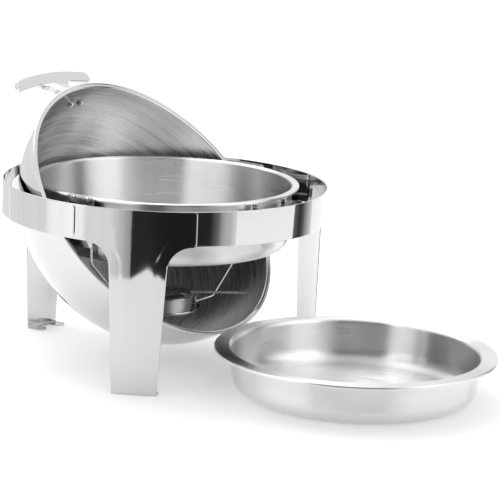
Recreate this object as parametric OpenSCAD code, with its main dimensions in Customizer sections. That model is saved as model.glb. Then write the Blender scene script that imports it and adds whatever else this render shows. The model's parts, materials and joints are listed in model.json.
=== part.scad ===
// Round roll top chafer: a band ring on three sheet legs, a dome lid that turns about
// two side pivots, a hung water pan, a spirit burner in a wire cradle, and the food
// pan standing on the table in front. The lid is drawn rolled open on its stops.
// Millimetres, +Z up, -Y is the serving side, X is the lid's pivot axis.

/* [Stand] */
// Outer radius of the band ring
band_r = 236; // [230:1:245]
// Height of the band ring
band_h = 49; // [40:1:56]
// Height of the band's top edge above the table
band_top = 260; // [255:1:275]
// Sheet thickness of the band and the legs
sheet_t = 1.5; // [1.2:0.1:2]
// Angle of the two front legs from the front
leg_angle = 59.5; // [56:0.5:62]
// Half width of a leg's head, over the band
leg_head = 79; // [70:1:84]
// Half width of a leg's shank just under its head
leg_top = 42; // [34:1:46]
// Half width of a leg's shank at the foot
leg_foot = 32; // [24:1:34]
// Radius of the fillets between a leg's head and shank
leg_fillet = 34; // [20:1:36]
// How far the foot is bent inwards
foot_in = 26; // [15:1:30]

/* [Lid] */
// Height of the lid's pivot axis above the table
pivot_z = 234; // [230:1:240]
// Angle the lid is rolled back from closed
lid_open = 131; // [90:1:135]
// Outer radius of the dome at its rim
dome_r = 210.5; // [206:0.5:211]
// Height of the dome above its rim
dome_h = 180; // [178:1:183]
// Height of the rim above the pivot axis when the lid is closed
rim_rise = 22; // [20:1:26]
// Outer radius of the rolled rim flange
flange_r = 217.5; // [212:0.5:220]
// Sheet thickness of the lid
lid_t = 1; // [0.8:0.1:1.2]

/* [Handle] */
// Half length of the handle's wing
wing_half = 80; // [60:1:84]
// Radius from the pivot axis to the wing's outer edge
wing_reach = 271; // [266:1:276]
// Radius of the wing's arched outer edge
wing_arc = 400; // [300:10:600]
// Depth of the wing towards the dome
wing_depth = 18; // [14:1:20]
// Thickness of the handle casting
handle_t = 9; // [7:0.5:10]
// Half width of the handle's neck
neck_half = 16; // [15:1:22]

/* [Water pan] */
// Outer radius of the water pan's rim
water_rim_r = 195; // [190:1:196]
// Height of the rim's top above the table
water_rim_z = 262; // [261:0.5:262.5]
// Height of the pan's bottom above the table
water_bottom_z = 169; // [165:1:185]
// Outer radius of the wall just under the rim
water_wall_r = 185; // [178:1:186]

/* [Food pan] */
// Outer radius of the food pan's rim
food_rim_r = 199; // [190:1:199]
// Height of the food pan
food_h = 64; // [50:1:70]
// Outer radius of the wall just under the rim
food_wall_r = 175; // [168:1:176]
// Place of the food pan's axis, right of the chafer's axis
food_x = 27; // [-30:1:35]
// Place of the food pan's axis, in front of the chafer's axis
food_y = 331; // [331:1:380]

/* [Burner] */
// Outer radius of the burner cup
cup_r = 45; // [38:1:45]
// Height of the burner cup
cup_h = 21; // [15:1:24]
// Height of the tray's underside above the table
tray_z = 68; // [64:1:76]
// Outer radius of the tray
tray_r = 57; // [54:1:58]
// Diameter of the cradle and handle wires
wire_d = 4; // [3:0.5:4]
// Length of the snuffer handle beyond the cup
snuffer_reach = 128; // [110:1:130]

/* [Hidden] */
$fn = 96;
eps = 0.05;
band_in = band_r - sheet_t;
band_low = band_top - band_h;
leg_r = band_r + eps;
leg_out = leg_r + sheet_t;
// Half width and corner radius of the plates over the pivots
hinge_half = 31;
hinge_corner = 6;
// Pivot parts: distances along X from the middle of the chafer
pin_r = 4;
hanger_x = 195.5;
hanger_t = 2;
hanger_y0 = -32;
hanger_y1 = 16;
hanger_low = 192;
hanger_rise = 2;
hanger_rivets_y = [-21, 4];
hanger_rivet_z = 260.2;
ear_x = dome_r - 5;
ear_t = 1.5;
ear_half = 14;
ear_top = 40;
// The water pan's lip rests on every shelf and pad at this height
pan_lip = 4;
rest_z = water_rim_z - pan_lip;
shelf_in = 187.5;
// Stop post: out along the open lid's axis and across it, from the pivot
stop_along = 25;
stop_r = 3;
stop_across = ear_half + stop_r + 0.3;
// Front bracket: half angle, height of its ledge, and places of its pads
ledge_half_angle = 16;
ledge_z = 250.5;
ledge_in = 188;
bumper_r = 212;
// Handle: height above the pivot axis of its two screws and of the wing's middle
screw_up = 57;
screw_apart = 11;
wing_up = 75;
foot_half = 18;
foot_reach = dome_r + 9;
// Snuffer: swing pin on the cup's rim, opposite the handle
snuffer_angle = 46;
cover_z = tray_z + sheet_t + cup_h + 0.4;
cover_t = 1.2;
// Cradle wire: places of its bends
arm_x = 189;
arm_y = -24;
arm_top_z = 226;
arm_knee_z = 168;
arm_foot_x = 92;
arm_foot_z = 76.5;
// The origin is the middle of the set's footprint
set_front = food_y + food_rim_r;
axis_y = (set_front - leg_out) / 2;

// ---- helpers ----

// Puts chafer parts, drawn about the chafer's own axis, at their place in the set
module place() {
    translate([0, axis_y, 0]) children();
}

// Draws a right-hand part, or its mirror image on the left
module sided(side) {
    mirror([side < 0 ? 1 : 0, 0, 0]) children();
}

// Turns a part drawn for the closed lid, with the pivot axis at z = 0, to the open pose
module lid_pose() {
    place() translate([0, 0, pivot_z]) rotate([-lid_open, 0, 0]) children();
}

// A cylinder along +X from x0 to x1
module x_rod(x0, x1, r, y = 0, z = 0) {
    translate([x0, y, z]) rotate([0, 90, 0]) cylinder(r = r, h = x1 - x0);
}

// A round wire through a list of points
module wire(points, d) {
    for (i = [0:len(points) - 2]) {
        run = points[i + 1] - points[i];
        flat = norm([run[0], run[1]]);
        translate(points[i])
            rotate([0, atan2(flat, run[2]), atan2(run[1], run[0])])
                cylinder(d = d, h = norm(run), $fn = 24);
    }
    for (i = [1:len(points) - 2]) translate(points[i]) sphere(d = 1.12 * d, $fn = 24);
}

// A rectangle centred on x, standing on y = 0, with round corners
module round_rect(w, h, r) {
    translate([-w / 2, r]) square([w, h - 2 * r]);
    translate([-w / 2 + r, 0]) square([w - 2 * r, h]);
    for (x = [-w / 2 + r, w / 2 - r], y = [r, h - r]) translate([x, y]) circle(r);
}

// A tube wall between two radii, from z = z0 up
module tube(r_out, r_in, z0, h) {
    translate([0, 0, z0]) difference() {
        cylinder(r = r_out, h = h);
        translate([0, 0, -1]) cylinder(r = r_in, h = h + 2);
    }
}

// Wraps a flat outline in the XZ plane onto the outside of the band, at the front
module wrapped() {
    intersection() {
        tube(leg_out, leg_r, -1, band_top + 2);
        rotate([90, 0, 0]) linear_extrude(band_r + 10) children();
    }
}

// Points along an arc
function arc(cx, cy, r, a0, a1, n = 8) =
    [for (i = [0:n]) [cx + r * cos(a0 + (a1 - a0) * i / n),
        cy + r * sin(a0 + (a1 - a0) * i / n)]];

// Half section of a round sheet pan: flat bottom, round corner, slanted wall, flat rim
module pan_section(rim_r, wall_top, wall_low, z0, z1, corner, neck, lip, t) {
    polygon(concat(
        [[0, z0]],
        arc(wall_low - corner, z0 + corner, corner, -90, 0),
        arc(wall_top - t + neck, z1 - neck, neck - t, 180, 90),
        [[rim_r - t, z1 - t], [rim_r - t, z1 - lip], [rim_r, z1 - lip], [rim_r, z1]],
        arc(wall_top - t + neck, z1 - neck, neck, 90, 180),
        arc(wall_low - corner, z0 + corner, corner - t, 0, -90),
        [[0, z0 + t]]));
}

// ---- stand ----

module frame_band() {
    color("gainsboro") place() difference() {
        tube(band_r, band_in, band_low, band_h);
        // butt joint of the rolled strip, at the front
        translate([-0.2, -band_r - 1, band_low - 1]) cube([0.4, sheet_t + 4, band_h + 2]);
    }
}

module leg_outline() {
    translate([0, band_low]) round_rect(2 * leg_head, band_h, 5);
    polygon([[-leg_foot, 0], [leg_foot, 0], [leg_top, band_low + 9], [-leg_top, band_low + 9]]);
    difference() {
        translate([-leg_top - leg_fillet, band_low - leg_fillet])
            square([2 * (leg_top + leg_fillet), leg_fillet + 8]);
        for (s = [-1, 1]) translate([s * (leg_top + leg_fillet - 1.5), band_low - leg_fillet])
            circle(leg_fillet);
        // trims the fill to the tapering shank
        for (s = [-1, 1]) translate([s * (leg_top + 2 * leg_fillet - 1.5), band_low - leg_fillet / 2])
            square([2 * leg_fillet, leg_fillet + 1], center = true);
    }
}

// Two rounded tabs bent inwards at the foot, on the table
module foot_tabs() {
    tab_half = leg_foot * 0.36;
    intersection() {
        tube(leg_out, leg_out - foot_in, 0, sheet_t);
        linear_extrude(sheet_t) union() {
            for (s = [-1, 1]) translate([s * (leg_foot - tab_half), 0]) {
                translate([-tab_half, -leg_out]) square([2 * tab_half, foot_in - tab_half + 4]);
                translate([0, -leg_out + foot_in - tab_half + 4]) circle(tab_half);
            }
            translate([-leg_foot, -leg_out]) square([2 * leg_foot, 11]);
        }
    }
}

module leg(angle) {
    color("whitesmoke") place() rotate([0, 0, angle]) {
        wrapped() leg_outline();
        foot_tabs();
    }
}

module hinge_plate(side) {
    color("silver") place() sided(side) rotate([0, 0, 90])
        wrapped() translate([0, band_low + 1]) round_rect(2 * hinge_half, band_h - 2, hinge_corner);
}

// ---- pivots and hangers ----

// Shouldered pin, welded inside the band; the lid's ear turns on its neck
module pivot_pin(side) {
    color("dimgray") place() sided(side) {
        x_rod(hanger_x - 7, band_in - 0.4, pin_r, 0, pivot_z);
        x_rod(ear_x + ear_t + 1.5, band_in - 0.4, 9, 0, pivot_z);
    }
}

module pivot_spacers() {
    color("gray") place() for (side = [-1, 1]) sided(side)
        translate([hanger_x + hanger_t + eps, 0, pivot_z]) rotate([0, 90, 0])
            tube(8, pin_r + eps, 0, ear_x - hanger_x - hanger_t - 0.35);
}

module pivot_nuts() {
    color("gray") place() for (side = [-1, 1]) sided(side)
        translate([hanger_x - 5 - eps, 0, pivot_z]) rotate([0, 90, 0]) difference() {
            cylinder(r = 7.4, h = 5, $fn = 6);
            translate([0, 0, -1]) cylinder(r = pin_r + eps, h = 7);
        }
}

// Upright plate on the pin, with a shelf bent in under the water pan's lip
module pan_hanger(side) {
    plate_h = water_rim_z + hanger_rise - hanger_low;
    mid = (hanger_y0 + hanger_y1) / 2;
    color("darkgray") place() sided(side) {
        difference() {
            translate([hanger_x, mid, hanger_low]) rotate([90, 0, 90]) linear_extrude(hanger_t)
                round_rect(hanger_y1 - hanger_y0, plate_h, 5);
            x_rod(hanger_x - 1, hanger_x + hanger_t + 1, pin_r + eps, 0, pivot_z);
            for (y = hanger_rivets_y)
                x_rod(hanger_x - 1, hanger_x + hanger_t + 1, 1.8 + eps, y, hanger_rivet_z);
            stop_hole();
        }
        translate([shelf_in, hanger_y0 + 5, rest_z - 1.5])
            cube([hanger_x - shelf_in + 0.5, hanger_y1 - hanger_y0 - 10, 1.5]);
    }
}

// Where the stop post goes through the hanger, clear of the open lid's ear
module stop_hole() {
    translate([0, 0, pivot_z]) rotate([-lid_open, 0, 0])
        x_rod(hanger_x - 1, hanger_x + hanger_t + 1, stop_r + eps, stop_across, stop_along);
}

module lid_stops() {
    color("gray") place() for (side = [-1, 1]) sided(side)
        translate([0, 0, pivot_z]) rotate([-lid_open, 0, 0]) {
            x_rod(hanger_x - 1.5, ear_x + ear_t, stop_r, stop_across, stop_along);
            x_rod(hanger_x - 2.5, hanger_x - eps, stop_r + 1.5, stop_across, stop_along);
        }
}

// Rivets, flush on the pan's side
module hanger_rivets() {
    color("silver") place() for (side = [-1, 1], y = hanger_rivets_y) sided(side) {
        x_rod(hanger_x, hanger_x + hanger_t + 0.5, 1.8, y, hanger_rivet_z);
        x_rod(hanger_x + hanger_t + eps, hanger_x + hanger_t + 1.6, 3.3, y, hanger_rivet_z);
    }
}

// Angle bracket behind the band's joint: its ledge carries the pan and the closed lid
module front_bracket() {
    color("lightgray") place() rotate([0, 0, -90 - ledge_half_angle]) difference() {
        union() {
            rotate_extrude(angle = 2 * ledge_half_angle)
                translate([ledge_in, ledge_z]) square([band_in - 0.2 - ledge_in, sheet_t]);
            rotate_extrude(angle = 2 * ledge_half_angle)
                translate([band_in - 0.2 - sheet_t, band_low + 6])
                    square([sheet_t, ledge_z - band_low - 5]);
        }
        for (a = rivet_angles()) rotate([0, 0, a + ledge_half_angle])
            x_rod(band_in - 5, band_in + 1, 2 + eps, 0, band_low + 18);
    }
}

function rivet_angles() = [-11, 11];

module front_rivets() {
    color("silver") place() for (a = rivet_angles()) rotate([0, 0, a - 90]) {
        x_rod(band_in - 3.4, band_in - 0.25, 2, 0, band_low + 18);
        x_rod(band_in - 4.4, band_in - 0.2 - sheet_t - 2 * eps, 4, 0, band_low + 18);
    }
}

module pan_rest_pads() {
    color("gray") place() for (a = [-10, 10]) rotate([0, 0, a])
        translate([0, -(ledge_in + 5), ledge_z + sheet_t])
            cylinder(r = 4.5, h = rest_z - ledge_z - sheet_t);
}

module lid_bumpers() {
    color("dimgray") place() for (a = [-13, 13]) rotate([0, 0, a])
        translate([0, -bumper_r, ledge_z + sheet_t])
            cylinder(r = 4, h = pivot_z + rim_rise - 1.1 - ledge_z - sheet_t);
}

// ---- burner ----

// Wire from the hanger down beside the pan, slanting in to the tray
module cradle_wire(side) {
    color("silver") place() sided(side)
        wire([[hanger_x - wire_d / 2, arm_y, arm_top_z], [arm_x, arm_y, arm_top_z - 8],
            [arm_x, arm_y, arm_knee_z], [arm_foot_x, arm_y, arm_foot_z],
            [tray_r + wire_d / 2 - 0.6, arm_y / 2, tray_z + 2]], wire_d);
}

// Round tray with a low rim and three flat prongs that hold the cup
module burner_tray() {
    color("silver") place() {
        translate([0, 0, tray_z]) cylinder(r = tray_r, h = sheet_t);
        tube(tray_r, tray_r - 1.2, tray_z + sheet_t / 2, 6 - sheet_t / 2);
        for (a = [70, 190, 310]) rotate([0, 0, a])
            translate([cup_r + 4, -4.5, tray_z + 1]) cube([2, 9, cup_h]);
    }
}

// Open cup for the fuel, with a turned-out edge
module burner_cup() {
    color("gainsboro") place() translate([0, 0, tray_z + sheet_t]) rotate_extrude() {
        square([cup_r, 1]);
        translate([cup_r - 1, 0]) square([1, cup_h]);
        translate([cup_r - 1, cup_h - 1]) square([3.5, 1]);
    }
}

// The swing pin's axis, just outside the cup wall opposite the handle
module snuffer_axis() {
    rotate([0, 0, snuffer_angle]) translate([0, cup_r + 7, 0]) children();
}

// Lug on the cup's side that holds the swing pin
module snuffer_pin() {
    color("dimgray") place() {
        snuffer_axis() translate([0, 0, tray_z + 8]) cylinder(r = 1.5, h = cup_h - 1, $fn = 32);
        rotate([0, 0, snuffer_angle]) translate([-3, cup_r + eps, cover_z - 7]) cube([6, 7.5, 4]);
    }
}

module snuffer_cover() {
    color("silver") place() translate([0, 0, cover_z]) difference() {
        union() {
            cylinder(r = cup_r + 2.5, h = cover_t);
            translate([0, 0, 1]) cylinder(r1 = cup_r - 3, r2 = cup_r - 14, h = 3);
            rotate([0, 0, snuffer_angle]) translate([-5, 0, 0]) cube([10, cup_r + 7, cover_t]);
            snuffer_axis() cylinder(r = 5, h = cover_t);
        }
        snuffer_axis() translate([0, 0, -1]) cylinder(r = 1.5 + eps, h = 4, $fn = 32);
    }
}

// Two wires side by side, welded on the cover, one of them hooked up at its end
module snuffer_handle() {
    d = wire_d * 0.6;
    z = cover_z + cover_t + d / 2 + 0.02;
    color("silver") place() rotate([0, 0, snuffer_angle]) for (s = [-1, 1])
        wire([[s * 4, -cup_r + 1.5, z], [s * 4, -cup_r - 16, z],
            [s * 3, -snuffer_reach + 8, z - 1],
            [s * 3, -snuffer_reach, z - 1 + (s > 0 ? 5 : 0)]], d);
}

// ---- pans ----

module water_pan() {
    color("gainsboro") place() rotate_extrude()
        pan_section(water_rim_r, water_wall_r, water_wall_r - 3, water_bottom_z, water_rim_z,
            18, 2.5, pan_lip, 1);
}

module food_pan() {
    color("lightgray") place() translate([food_x, -food_y, 0]) rotate_extrude()
        pan_section(food_rim_r, food_wall_r, food_wall_r - 3, 0, food_h, 24, 6, 4.5, 1);
}

// ---- lid, drawn closed with the pivot axis at z = 0 ----

// Half section of the spun dome, from rim to crown, with its rolled flange
module dome_section() {
    steps = 30;
    polygon(concat(
        [for (i = [0:steps]) let (a = 90 * i / steps)
            [dome_r * cos(a), rim_rise + dome_h * sin(a)]],
        [for (i = [0:steps]) let (a = 90 - 90 * i / steps)
            [(dome_r - lid_t) * cos(a), rim_rise + (dome_h - lid_t) * sin(a)]]));
    translate([dome_r - lid_t, rim_rise]) square([flange_r - dome_r - 1, lid_t]);
    translate([flange_r - 1.4, rim_rise + lid_t / 2]) circle(1.4, $fn = 32);
}

module lid_shell() {
    color("whitesmoke") lid_pose() difference() {
        rotate_extrude() dome_section();
        for (side = [-1, 1]) sided(side) ear_rivet_holes(dome_r - 12, dome_r + 2);
        screw_holes(2.5 + eps, dome_r);
    }
}

module ear_rivet_holes(x0, x1) {
    for (y = [-7, 7]) x_rod(x0, x1, 2 + eps, y, ear_top - 8);
}

module screw_holes(r, reach) {
    for (s = [-1, 1]) translate([s * screw_apart, 0, screw_up]) rotate([90, 0, 0])
        cylinder(r = r, h = reach);
}

module lid_ear(side) {
    color("darkgray") lid_pose() sided(side) difference() {
        translate([ear_x, 0, 0]) rotate([90, 0, 90]) linear_extrude(ear_t) union() {
            circle(ear_half);
            translate([-ear_half, 0]) square([2 * ear_half, ear_top - 4]);
            translate([0, ear_top - 10]) translate([-ear_half + 4, 0])
                square([2 * ear_half - 8, 10]);
            for (s = [-1, 1]) translate([s * (ear_half - 4), ear_top - 4]) circle(4);
        }
        x_rod(ear_x - 1, ear_x + ear_t + 1, pin_r + eps, 0, 0);
        ear_rivet_holes(ear_x - 1, ear_x + ear_t + 1);
    }
}

module ear_rivets() {
    color("silver") lid_pose() for (side = [-1, 1], y = [-7, 7]) sided(side) {
        x_rod(ear_x - 1, dome_r + 0.8, 2, y, ear_top - 8);
        x_rod(ear_x - 1.2, ear_x - eps, 3.2, y, ear_top - 8);
        x_rod(dome_r - 0.3, dome_r + 1.2, 3.2, y, ear_top - 8);
    }
}

// Outline of the handle seen from above: an arched wing on a filleted neck and foot
module handle_outline() {
    arc_y = wing_reach - wing_arc;
    tip = wing_depth / 2;
    neck_fillet = 22;
    intersection() {
        translate([0, -arc_y]) difference() {
            circle(wing_arc);
            circle(wing_arc - wing_depth);
        }
        translate([-wing_half + tip, -wing_reach - 1]) square([2 * (wing_half - tip), 60]);
    }
    for (s = [-1, 1]) translate([s * (wing_half - tip), -arc_y
        - sqrt(pow(wing_arc - tip, 2) - pow(wing_half - tip, 2))]) circle(tip);
    difference() {
        translate([-neck_half - neck_fillet * 0.6, -wing_reach + wing_depth - 3])
            square([2 * neck_half + neck_fillet * 1.2, wing_reach - wing_depth + 3 - dome_r]);
        for (s = [-1, 1]) translate([s * (neck_half + neck_fillet), 0]) {
            translate([0, -wing_reach + wing_depth + neck_fillet]) circle(neck_fillet);
            translate([0, -wing_reach + wing_depth + 1.9 * neck_fillet])
                square([2 * neck_fillet, 1.8 * neck_fillet], center = true);
        }
    }
    translate([-foot_half, -foot_reach]) square([2 * foot_half, 20]);
}

// Outline of the handle seen from the side: a foot on the dome, a neck rising from it
// and the wing, as points of minus the radius from the pivot axis and the height over it
module handle_profile() {
    low = wing_up - handle_t / 2;
    polygon([[-dome_r + 14, screw_up - 9], [-foot_reach + 3, screw_up - 9],
        [-foot_reach, screw_up - 6], [-wing_reach + 39, low - 13], [-wing_reach + 20, low],
        [-wing_reach - 2, low], [-wing_reach - 2, low + handle_t],
        [-wing_reach + 24, low + handle_t], [-wing_reach + 45, low - 3],
        [-foot_reach + 2, low - 4], [-dome_r + 14, low - 4]]);
}

// Cast handle: flat wing carried out from the dome on a sloping neck with a square foot
module lid_handle() {
    color("whitesmoke") lid_pose() difference() {
        intersection() {
            translate([0, 0, screw_up - 20]) linear_extrude(60) handle_outline();
            translate([-wing_half - 5, 0, 0]) rotate([90, 0, 90])
                linear_extrude(2 * wing_half + 10) handle_profile();
        }
        // clears the dome
        rotate_extrude() polygon(concat([[0, 0]],
            [for (i = [0:30]) [(dome_r + 0.2) * cos(3 * i),
                rim_rise + (dome_h + 0.2) * sin(3 * i)]]));
        screw_holes(2.5 + eps, dome_r + 7.5);
    }
}

// Screws driven from inside the dome into the handle's foot
module handle_screws() {
    color("silver") lid_pose() for (s = [-1, 1]) translate([s * screw_apart, 0, screw_up])
        rotate([90, 0, 0]) {
            translate([0, 0, dome_r - 10]) cylinder(r = 2.5, h = 17);
            translate([0, 0, dome_r - 11.6]) cylinder(r = 4.6, h = 3.2);
        }
}

module handle_washers() {
    color("silver") lid_pose() for (s = [-1, 1]) translate([s * screw_apart, 0, screw_up])
        rotate([90, 0, 0]) tube(5.4, 2.5 + eps, dome_r - 8.4 + eps, 1.1);
}

frame_band();
leg(-leg_angle);  // leg_left
leg(leg_angle);  // leg_right
leg(180);  // leg_back
hinge_plate(-1);  // hinge_plate_left
hinge_plate(1);  // hinge_plate_right
pivot_pin(-1);  // pivot_pin_left
pivot_pin(1);  // pivot_pin_right
pivot_spacers();
pivot_nuts();
pan_hanger(-1);  // pan_hanger_left
pan_hanger(1);  // pan_hanger_right
hanger_rivets();
lid_stops();
front_bracket();
front_rivets();
pan_rest_pads();
lid_bumpers();
cradle_wire(-1);  // cradle_wire_left
cradle_wire(1);  // cradle_wire_right
burner_tray();
burner_cup();
snuffer_pin();
snuffer_cover();
snuffer_handle();
water_pan();
food_pan();
lid_shell();
lid_ear(-1);  // lid_ear_left
lid_ear(1);  // lid_ear_right
ear_rivets();
lid_handle();
handle_screws();
handle_washers();
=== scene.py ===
import json
import math

import bmesh
import bpy
from mathutils import Matrix, Vector


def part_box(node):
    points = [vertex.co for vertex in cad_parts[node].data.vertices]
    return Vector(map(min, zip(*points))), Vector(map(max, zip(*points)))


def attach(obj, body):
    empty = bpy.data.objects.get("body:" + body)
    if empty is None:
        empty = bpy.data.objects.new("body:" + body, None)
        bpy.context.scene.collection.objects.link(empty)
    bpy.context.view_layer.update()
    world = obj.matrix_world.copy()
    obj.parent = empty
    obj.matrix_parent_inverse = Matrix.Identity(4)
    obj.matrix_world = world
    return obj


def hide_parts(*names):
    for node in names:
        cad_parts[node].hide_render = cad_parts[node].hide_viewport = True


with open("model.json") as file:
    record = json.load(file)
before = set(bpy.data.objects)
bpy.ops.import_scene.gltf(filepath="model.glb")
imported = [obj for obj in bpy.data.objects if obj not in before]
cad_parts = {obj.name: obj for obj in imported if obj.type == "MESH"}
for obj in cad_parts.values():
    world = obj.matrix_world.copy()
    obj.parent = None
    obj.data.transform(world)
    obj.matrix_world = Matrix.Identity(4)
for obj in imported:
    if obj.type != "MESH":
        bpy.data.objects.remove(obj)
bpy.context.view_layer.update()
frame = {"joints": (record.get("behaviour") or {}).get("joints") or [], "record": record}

# Looks for a round roll top chafer. Shapes are worked out in millimetres, in the frame of
# the part they belong to (the chafer's own axis, the tilted lid, the food pan), and turned
# into metres when they become meshes.
MM = 0.001
record = frame["record"]
body_of = {n: b for b, nodes in record["behaviour"]["bodies"].items() for n in nodes}
joints = {j["name"]: j for j in frame["joints"]}


def box_mm(node):
    low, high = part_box(node)
    return low / MM, high / MM


# ---- measures taken from the frame ----

band_low_corner, band_high_corner = box_mm("frame_band")
AXIS_Y = (band_low_corner.y + band_high_corner.y) / 2
BAND_R = (band_high_corner.x - band_low_corner.x) / 2
BAND_TOP = band_high_corner.z
BAND_LOW = band_low_corner.z
PIVOT_Z = joints["lid_hinge"]["pos_m"][2] / MM
LID_OPEN = joints["lid_hinge"]["range_deg"][1]
SHEET = 1.5

stand_place = Matrix.Translation(Vector((0, AXIS_Y, 0)) * MM)
lid_place = (Matrix.Translation(Vector((0, AXIS_Y, PIVOT_Z)) * MM)
             @ Matrix.Rotation(math.radians(-LID_OPEN), 4, "X"))


# ---- outlines and paths ----

def arc(cx, cy, r, start, end, step):
    """Points along an arc, from one angle to another, in degrees."""
    count = max(2, math.ceil(abs(end - start) / step))
    angles = [math.radians(start + (end - start) * i / count) for i in range(count + 1)]
    return [(cx + r * math.cos(a), cy + r * math.sin(a)) for a in angles]


def rounded(points, radii, closed=False, step=10):
    """A path in the plane or in space whose corners are arcs of the given radii."""
    made = []
    count = len(points)
    for i, (point, r) in enumerate(zip(points, radii)):
        p = Vector(point)
        ends = not closed and i in (0, count - 1)
        if ends or r == 0:
            made.append(tuple(p))
            continue
        a = Vector(points[i - 1]) - p
        b = Vector(points[(i + 1) % count]) - p
        half = a.angle(b) / 2
        cut = min(r / math.tan(half), 0.49 * a.length, 0.49 * b.length)
        r = cut * math.tan(half)
        centre = p + (a.normalized() + b.normalized()).normalized() * r / math.sin(half)
        start = p + a.normalized() * cut - centre
        end = p + b.normalized() * cut - centre
        turn = start.angle(end)
        n = max(2, math.ceil(math.degrees(turn) / step))
        for k in range(n + 1):
            f = k / n
            made.append(tuple(centre + (start * math.sin((1 - f) * turn)
                                        + end * math.sin(f * turn)) / math.sin(turn)))
    return made


def round_rect(w, h, r, cx, cy):
    """Outline of a rectangle with round corners, centred on a point."""
    x, y = w / 2, h / 2
    return rounded([(cx - x, cy - y), (cx + x, cy - y), (cx + x, cy + y), (cx - x, cy + y)],
                   [r] * 4, closed=True)


def sheet_section(path, t):
    """Closed outline of a sheet of thickness t along a path, with round ends off the axis."""
    points = [Vector(p) for p in path]
    left, right = [], []
    for i, p in enumerate(points):
        ahead = points[min(i + 1, len(points) - 1)] - points[max(i - 1, 0)]
        side = Vector((-ahead.y, ahead.x)).normalized() * t / 2
        if p.x < 1e-6:
            side = Vector((0, math.copysign(t / 2, side.y)))
        left.append(p + side)
        right.append(p - side)

    def cap(p, a):
        if p.x < 1e-6:
            return []
        start = math.degrees(math.atan2((a - p).y, (a - p).x))
        return [Vector(q) for q in arc(p.x, p.y, t / 2, start, start - 180, 45)[1:-1]]

    outline = left + cap(points[-1], left[-1]) + right[::-1] + cap(points[0], right[0])
    return [tuple(q) for q in outline]


# ---- solids ----

WIRE_SIDES = 16
# Stands a plate drawn as (y, z) upright, with its thickness along X
STAND_UP = Matrix(((0, 0, 1, 0), (1, 0, 0, 0), (0, 1, 0, 0), (0, 0, 0, 1)))


def spin(bm, section, steps, turn=360.0, start=0.0):
    """Spins a closed half section, as (radius, height) points, about Z."""
    whole = abs(turn - 360) < 1e-9
    count = steps if whole else steps + 1
    poles = {j: bm.verts.new((0, 0, z)) for j, (r, z) in enumerate(section) if r < 1e-6}
    rings = []
    for i in range(count):
        a = math.radians(start + turn * i / steps)
        rings.append([poles.get(j) or bm.verts.new((r * math.cos(a), r * math.sin(a), z))
                      for j, (r, z) in enumerate(section)])
    for i in range(steps):
        here, there = rings[i], rings[(i + 1) % count]
        for j in range(len(section)):
            k = (j + 1) % len(section)
            if j in poles and k in poles:
                continue
            corners = list(dict.fromkeys([here[j], there[j], there[k], here[k]]))
            bm.faces.new(corners)
    if not whole:
        bm.faces.new(rings[0])
        bm.faces.new(rings[-1])


def join_rings(bm, rings):
    """Skins a row of equal rings of points and closes both ends."""
    for a, b in zip(rings, rings[1:]):
        for j in range(len(a)):
            k = (j + 1) % len(a)
            bm.faces.new((a[j], a[k], b[k], b[j]))
    bm.faces.new(rings[0])
    bm.faces.new(rings[-1])


def bevel_sharp(bm, width, segments=3, angle=50):
    """Rounds every edge that is sharper than an angle."""
    edges = [e for e in bm.edges if len(e.link_faces) == 2
             and e.calc_face_angle(0) > math.radians(angle)]
    bmesh.ops.bevel(bm, geom=edges, offset=width, segments=segments, profile=0.5,
                    affect="EDGES", clamp_overlap=True)


def plate(outline, z0, z1, width, holes=()):
    """A flat plate with rounded edges; it may have holes."""
    bm = bmesh.new()
    rims = []
    for loop in (outline, *holes):
        verts = [bm.verts.new((x, y, z0)) for x, y in loop]
        rims += [bm.edges.new((a, b)) for a, b in zip(verts, verts[1:] + verts[:1])]
    if holes:
        bmesh.ops.triangle_fill(bm, use_beauty=True, edges=rims)
    else:
        bm.faces.new(bm.verts)
    lifted = bmesh.ops.extrude_face_region(bm, geom=list(bm.faces))["geom"]
    bmesh.ops.translate(bm, vec=(0, 0, z1 - z0),
                        verts=[g for g in lifted if isinstance(g, bmesh.types.BMVert)])
    bevel_sharp(bm, width)
    return bm


def wrapped_sheet(bm, rows, columns, axis_angle, thickness, relief=None):
    """A sheet wrapped round the band. Each row is (outer radius, height, inner radius,
    inner height, half width); relief moves it outwards by a function of place."""
    turn = Matrix.Rotation(math.radians(axis_angle), 3, "Z")
    edge = thickness * 0.5
    spans = [-1 + 2 * i / columns for i in range(columns + 1)]
    rings = []
    for r_out, z_out, r_in, z_in, half in rows:
        flat = max(half - edge * 0.6, 0.1)
        outer = [(s * flat, 1.0) for s in spans]
        inner = [(s * flat, 0.0) for s in spans[::-1]]
        ends = [(half - edge * 0.15, 0.8), (half, 0.5), (half - edge * 0.15, 0.2)]
        ring = []
        for x, f in outer + ends + inner + [(-x, 1 - f) for x, f in ends]:
            r = r_in + (r_out - r_in) * f
            z = z_in + (z_out - z_in) * f
            r += relief(x, z) if relief else 0.0
            ring.append(bm.verts.new(turn @ Vector((x, -math.sqrt(r * r - x * x), z))))
        rings.append(ring)
    join_rings(bm, rings)


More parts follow.
